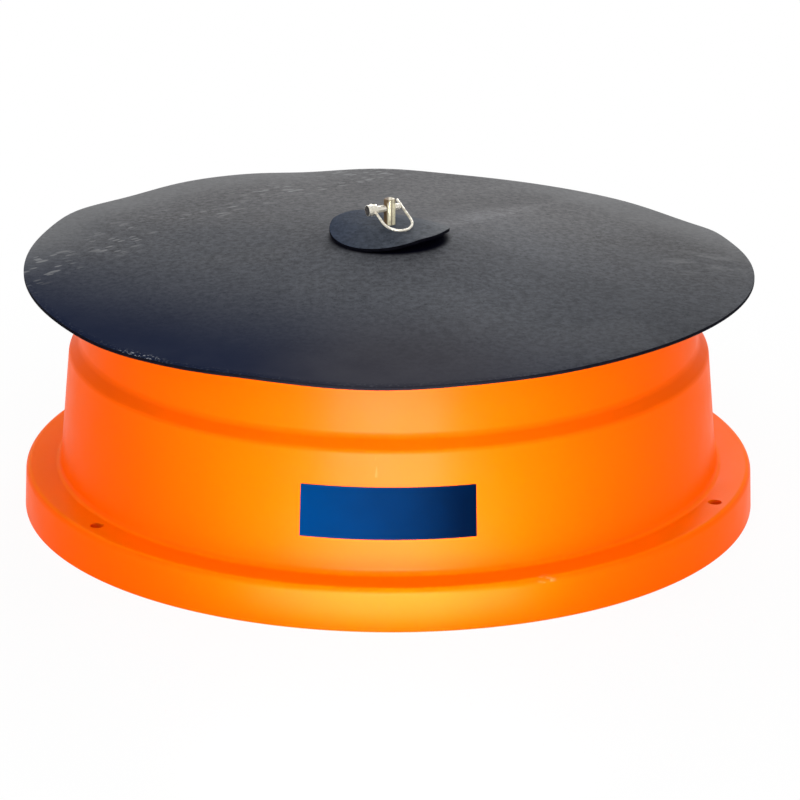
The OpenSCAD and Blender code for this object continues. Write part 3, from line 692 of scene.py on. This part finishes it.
def rubber_sheet(radii, steps, thickness, height):
    """A sheet whose top is at a height that depends on radius and angle, with its place at rest kept."""
    bm = drawn_line([(r, 0, 0) for r in radii])
    spin_round(bm, UPRIGHT, steps)
    bm.faces.ensure_lookup_table()
    if bm.faces[0].normal.z < 0:
        bmesh.ops.reverse_faces(bm, faces=bm.faces)
    for v in bm.verts:
        v.co.z = height(v.co.xy.length, math.atan2(v.co.y, v.co.x))
    bmesh.ops.solidify(bm, geom=bm.faces[:], thickness=thickness)
    bmesh.ops.recalc_face_normals(bm, faces=bm.faces)
    soften(bm, steep_edges(bm, EDGE_ANGLE), EDGE_ROUND, EDGE_ROUND_STEPS)
    for f in bm.faces:
        f.material_index = CUT if abs(f.normal.z) < CUT_SLOPE else TOP if f.normal.z > 0 else UNDER
    place = bm.verts.layers.float_vector.new(SHEET_PLACE)
    for v in bm.verts:
        v[place] = v.co
    return bm


# %% [markdown]
# The front of the lid bends up when it is nosed. In the frame it turns on a line in front of the stud.

# %% The lid
LID_RINGS, LID_RING_POWER, LID_STEPS = 56, 1.4, 224

lid_radii = [LID_BORE_R + (LID_R - LID_BORE_R) * (i / LID_RINGS) ** LID_RING_POWER for i in range(LID_RINGS + 1)]
lid = make_piece("rubber_lid_sheet", rubber_sheet(lid_radii, LID_STEPS, LID_T, lid_height),
                 [lid_black, cut_edge, under_black])
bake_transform(lid)
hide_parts("rubber_lid", "rubber_lid_flap")
print("lid box top", round(max(v.co.z for v in lid.data.vertices), 4))

# %% [markdown]
# ## The cap washer
# A smaller disc of the same rubber lies on the lid under the snap pin. It is bent over a level ridge and droops
# onto the lid on both sides of it, so that a dark gap opens under the ridge's near end at the right. It is made
# in the same way as the lid.

# %% Cap washer
CAP_T, CAP_BORE_R, CAP_FLAT_R = 5 * MM, 8.4 * MM, 27 * MM
DROOP_TURN, DROOP_POWER, FOLD_EASE = math.radians(232), 1.1, 0.12
CAP_RINGS, CAP_STEPS = 24, 128
cap_droop = LID_DROP * reach(CAP_R) ** FALL_POWER - (WAVE_H + LEAN_H) * reach(CAP_R) ** WAVE_POWER - CLEAR


def cap_height(r, angle):
    side = (abs(r * math.cos(angle - DROOP_TURN)) - CAP_FLAT_R) / (CAP_R - CAP_FLAT_R)
    eased = (side + math.hypot(side, FOLD_EASE)) / 2
    return hub_z + CAP_T - cap_droop * eased ** DROOP_POWER


cap_radii = [CAP_BORE_R + (CAP_R - CAP_BORE_R) * i / CAP_RINGS for i in range(CAP_RINGS + 1)]
cap = make_piece("cap_washer_sheet", rubber_sheet(cap_radii, CAP_STEPS, CAP_T, cap_height),
                 [cap_black, cut_edge, under_black])
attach(cap, "base")
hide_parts("cap_washer")
print("cap droop", round(cap_droop, 4))

# %% [markdown]
# ## The snap pin and its wire
# The pin is a turned piece, so its profile is spun about its own axis; its head has a recessed end and a cross
# hole. The wire is a round section pushed along a leg, spun round a half turn and pushed along the second leg
# past the pin's tip. Both are made level and then turned into their place on the stud in one step.

# %% Turned pin
PIN_R, PIN_NECK, PIN_TIP, PIN_CHAMFER = 4.75 * MM, 20.5 * MM, 16 * MM, 1.9 * MM
PIN_HEAD_R, PIN_HEAD_L, RECESS_R, RECESS_DEPTH = 7.75 * MM, 14 * MM, 6.5 * MM, 2.5 * MM
PIN_STEPS, PIN_ROUND, PIN_ROUND_STEPS, PIN_EDGE_ANGLE = 48, 0.8 * MM, 3, 40
ALONG_PIN = (1, 0, 0)

head_end = -PIN_NECK - PIN_HEAD_L
recess_end = head_end + RECESS_DEPTH
# Each corner is a place along the pin and a radius
pin_profile = [
    (recess_end, 0), (recess_end, RECESS_R), (head_end, RECESS_R), (head_end, PIN_HEAD_R), (-PIN_NECK, PIN_HEAD_R),
    (-PIN_NECK, PIN_R), (PIN_TIP - PIN_CHAMFER, PIN_R), (PIN_TIP, PIN_R - PIN_CHAMFER), (PIN_TIP, 0)]
pin_bm = drawn_line([(x, r, 0) for x, r in pin_profile])
spin_round(pin_bm, ALONG_PIN, PIN_STEPS)
soften(pin_bm, steep_edges(pin_bm, PIN_EDGE_ANGLE), PIN_ROUND, PIN_ROUND_STEPS)
# The recessed end of the head takes the dark finish, a painted shade.
for f in pin_bm.faces:
    centre = f.calc_center_median()
    f.material_index = int(centre.x < recess_end + CLEAR and centre.yz.length < PIN_HEAD_R - CLEAR)
pin = make_piece("snap_pin_turned", pin_bm, [bright_zinc, painted_end_shade])

# %% Drill the pin and put it in its place
BAIL_WIRE_R, BAIL_PIVOT, WIRE_CLEAR, WIRE_HOLE_SEGMENTS = 1.8 * MM, -24.2375 * MM, 0.06 * MM, 32
PIN_LIFT, PIN_TURN, PIN_LEAN = 22.5 * MM, math.radians(28), math.radians(23.5)
LAID_DOWN = Matrix.Rotation(math.pi / 2, 4, "X")

wire_drill = bmesh.new()
add_drill(wire_drill, BAIL_WIRE_R + WIRE_CLEAR, 4 * PIN_HEAD_R,
          Matrix.Translation((BAIL_PIVOT, 0, 0)) @ LAID_DOWN, WIRE_HOLE_SEGMENTS)
cut_away(pin, wire_drill)
pin_z = hub_z + CAP_T + PIN_LIFT
at_pin = (Matrix.Translation((0, 0, pin_z)) @ Matrix.Rotation(PIN_TURN, 4, "Z")
          @ Matrix.Rotation(PIN_LEAN, 4, "X"))
pin.data.transform(at_pin)
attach(pin, "pin")
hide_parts("snap_pin")
print("snap pin at", round(pin_z, 4))

# %% The wire's route
BAIL_W, BAIL_REACH, BAIL_TAIL = 43 * MM, 50 * MM, 15 * MM
WIRE_SEGMENTS, BEND_STEPS = 20, 32
bend_r = BAIL_W / 2
bail_leg = BAIL_REACH - bend_r
bail_stub = PIN_HEAD_R + BAIL_WIRE_R


def pushed(bm, ring, step):
    """Extrudes an open ring of edges by a step and returns the new ring."""
    made = bmesh.ops.extrude_edge_only(bm, edges=ring)["geom"]
    fresh = [g for g in made if isinstance(g, bmesh.types.BMVert)]
    bmesh.ops.translate(bm, verts=fresh, vec=step)
    return [g for g in made if isinstance(g, bmesh.types.BMEdge) and all(v in fresh for v in g.verts)]


bail_bm = bmesh.new()
bmesh.ops.create_circle(bail_bm, cap_ends=False, segments=WIRE_SEGMENTS, radius=BAIL_WIRE_R,
                        matrix=Matrix.Translation((BAIL_PIVOT, bail_stub, 0)) @ LAID_DOWN)
ring = pushed(bail_bm, bail_bm.edges[:], (0, -bail_stub - bail_leg, 0))
bend = bmesh.ops.spin(bail_bm, geom=ring, cent=(BAIL_PIVOT + bend_r, -bail_leg, 0), axis=UPRIGHT,
                      angle=math.pi, steps=BEND_STEPS, use_duplicate=False)["geom_last"]
pushed(bail_bm, [g for g in bend if isinstance(g, bmesh.types.BMEdge)], (0, bail_leg + BAIL_TAIL, 0))
print("bail wire", round(bail_stub + 2 * bail_leg + math.pi * bend_r + BAIL_TAIL, 4), "long")

# %% Its ends and its rivet
WIRE_ROUND, WIRE_ROUND_STEPS, WIRE_END_ANGLE = 0.6 * MM, 3, 60
RIVET_R, RIVET_TOP_R, RIVET_H, RIVET_SEGMENTS = 2.7 * MM, 2.2 * MM, 1.8 * MM, 24

bmesh.ops.holes_fill(bail_bm, edges=[e for e in bail_bm.edges if e.is_boundary], sides=0)
bmesh.ops.recalc_face_normals(bail_bm, faces=bail_bm.faces)
soften(bail_bm, steep_edges(bail_bm, WIRE_END_ANGLE), WIRE_ROUND, WIRE_ROUND_STEPS)
bmesh.ops.create_cone(bail_bm, cap_ends=True, segments=RIVET_SEGMENTS, radius1=RIVET_R, radius2=RIVET_TOP_R,
                      depth=RIVET_H, matrix=Matrix.Translation((BAIL_PIVOT, bail_stub + RIVET_H / 2, 0))
                      @ LAID_DOWN.inverted())
bmesh.ops.transform(bail_bm, matrix=at_pin, verts=bail_bm.verts)
bail = make_piece("snap_pin_wire", bail_bm, [bright_zinc])
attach(bail, "bail")
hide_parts("snap_pin_bail")

# %% [markdown]
# ## Finishes of the CAD pieces
# The pan, its dividers, the pedestal and the hardware keep their CAD shapes, which are right as they are. Each
# takes the finish of its record slot, so a piece that is only seen when the lid is lifted is finished too.

# %% Dress the CAD nodes
finish_of_slot = {"tub_plastic": tub_orange, "pan_plastic": pan_orange, "zinc_steel": grey_zinc,
                  "yellow_zinc": yellow_zinc, "bright_steel": bright_zinc, "lid_rubber": lid_black,
                  "cap_rubber": cap_black, "panel_blue": panel_blue}
for part in frame["record"]["subparts"]:
    mesh = nodes[part["node"]].data
    mesh.materials.clear()
    mesh.materials.append(finish_of_slot[part["material_slot"]])

# %% [markdown]
# ## Floor and room
# The feeder stands on a plain white floor in a white room. More light would make them white too, but would bleach
# the feeder. So the floor shows white to the camera and still takes the shadow: near the feeder it is part plain
# white paint and part glow, far off it is all glow, and the glow is only for what is seen directly. Under the
# tub the glow is orange, painted light that stands for the light coming through the plastic.

# %% Floor
FLOOR_HALF = 14.0
scene = bpy.context.scene
scene.view_settings.view_transform = "Standard"

floor_bm = bmesh.new()
bmesh.ops.create_grid(floor_bm, x_segments=1, y_segments=1, size=FLOOR_HALF)
floor_mesh = bpy.data.meshes.new("floor")
floor_bm.to_mesh(floor_mesh)
floor_bm.free()
floor = bpy.data.objects.new("floor", floor_mesh)
scene.collection.objects.link(floor)
print("floor", 2 * FLOOR_HALF, "wide")

# %% White paint with a glow
NEAR_GLOW, NEAR_R, FAR_R = 0.94, 0.55, 1.3
PAINTED_LIGHT_UNDER_TUB, WHITE = (0.8, 0.04, 0.0), (1.0, 1.0, 1.0)


def seen_directly(wiring):
    """One for rays from the camera, a mirror or glass, and zero for the rays that light other things."""
    rays = wiring.node("ShaderNodeLightPath").outputs
    return wiring.largest(rays["Is Camera Ray"], rays["Is Glossy Ray"], rays["Is Transmission Ray"])


paint = Finish("floor_white", Base_Color=(0.9, 0.9, 0.9, 1), Roughness=0.9, Specular_IOR_Level=0.0)
from_middle = paint.away()
outside = paint.spread(from_middle, FLANGE_R - TUB_WALL, FLANGE_R + CLEAR, smooth=False)
# Under the tub the glow is orange: painted light for what comes through the plastic.
glow = paint.node("ShaderNodeEmission", {"Color": paint.mix(outside, PAINTED_LIGHT_UNDER_TUB, WHITE)})
glow_share = paint.times(seen_directly(paint), paint.spread(from_middle, NEAR_R, FAR_R, NEAR_GLOW, 1.0))
surface = paint.node("ShaderNodeMixShader", {0: glow_share, 1: paint.shader.outputs[0], 2: glow.outputs[0]})
paint.feed(paint.tree.nodes["Material Output"].inputs["Surface"], surface.outputs[0])
floor_mesh.materials.append(paint.material)
print("floor paint:", paint.material.name)

# %% Room
ROOM_LEVEL = 0.336
world = bpy.data.worlds.new("studio")
scene.world = world
world.use_nodes = True
room = Wiring(world.node_tree)
background = room.tree.nodes["Background"]
background.inputs["Color"].default_value = (*WHITE, 1)
room.feed(background.inputs["Strength"], room.spread(seen_directly(room), 0, 1, ROOM_LEVEL, 1.0, smooth=False))
print("room level", ROOM_LEVEL)

# %% [markdown]
# ## Light
# A photographer would light the feeder with large softboxes and white boards, and each of them is an area lamp
# here. Most of the light comes from the front and from low down, as from a bright floor. Three lamps are seen by
# gloss alone: they are what the satin wall, the stud and the pin mirror, and they add nothing to the matt colour.
# The boards at the sides do the opposite, so that they leave no streaks.

# %% Lamps
def soft_lamp(name, place, aim, size, power, in_gloss=True, in_matt=True, beam=180):
    """A rectangular lamp at a place in metres: its size in metres, its power in watts, its beam in degrees."""
    lamp = bpy.data.lights.new(name, "AREA")
    lamp.shape = "RECTANGLE"
    lamp.size, lamp.size_y = size
    lamp.energy = power
    lamp.spread = math.radians(beam)
    holder = bpy.data.objects.new(name, lamp)
    holder.location = place
    holder.rotation_euler = (Vector(aim) - Vector(place)).to_track_quat("-Z", "Y").to_euler()
    holder.visible_camera = False
    holder.visible_glossy = in_gloss
    holder.visible_diffuse = in_matt
    scene.collection.objects.link(holder)


soft_lamp("front_softbox", (0, -2.6, 0.32), (0, 0, 0.2), (1.2, 0.5), 8)
soft_lamp("floor_bounce", (0, -1.15, 0.003), (0, -1.149, 1), (0.5, 1.2), 12)
soft_lamp("low_reflector", (0, -1.1, 0.05), (0, 0, 0.16), (0.4, 0.12), 2.2, beam=100)
soft_lamp("sheen_reflector", (0, -1.1, 0.17), (0, 0, 0.3), (0.65, 0.16), 36, in_matt=False)
soft_lamp("floor_sheen", (0, -0.78, 0.002), (0, -0.779, 1), (0.6, 0.4), 32, in_matt=False)
soft_lamp("pin_sheen", (0, -2.6, 0.6), (0, 0, 0.4), (1.2, 0.3), 60, in_matt=False)
for side in (-1, 1):
    soft_lamp("side_reflector", (side * 2.2, -0.5, 0.9), (0, 0, 0.2), (1.6, 0.7), 18, in_gloss=False)
soft_lamp("high_softbox", (0, -2.0, 3.2), (0, -0.3, 0.2), (1.6, 1.6), 24)
soft_lamp("back_softbox", (0.5, 2.6, 1.9), (0, 0, 0.35), (1.6, 1.6), 48)

# %% [markdown]
# ## Camera
# The camera looks down on the feeder a little, from far away and with a long lens. A Track To constraint would
# aim it, but it also has a very slight roll, so its axes are worked out from the eye, the aim and the roll. The
# lens is written as a share of the picture's width.

# %% Camera
EYE, AIM, ROLL = Vector((0, -4.7, 1.78777)), Vector((0.0157, 0, 0.13523)), 0.0053
SENSOR, FOCAL_SHARE, FAR_CLIP = 36.0, 4.462675, 100
look = (AIM - EYE).normalized()
right = look.cross(Vector(UPRIGHT)).normalized()
up = right.cross(look)
rolled_right = right * math.cos(ROLL) + up * math.sin(ROLL)
rolled_up = up * math.cos(ROLL) - right * math.sin(ROLL)
lens = bpy.data.cameras.new("camera")
lens.sensor_width = SENSOR
lens.lens = SENSOR * FOCAL_SHARE
lens.clip_end = FAR_CLIP
camera = bpy.data.objects.new("camera", lens)
camera.matrix_world = Matrix((rolled_right, rolled_up, -look)).transposed().to_4x4()
camera.location = EYE
scene.collection.objects.link(camera)
scene.camera = camera
print("camera", tuple(round(c, 3) for c in camera.location), "lens", round(lens.lens, 2))
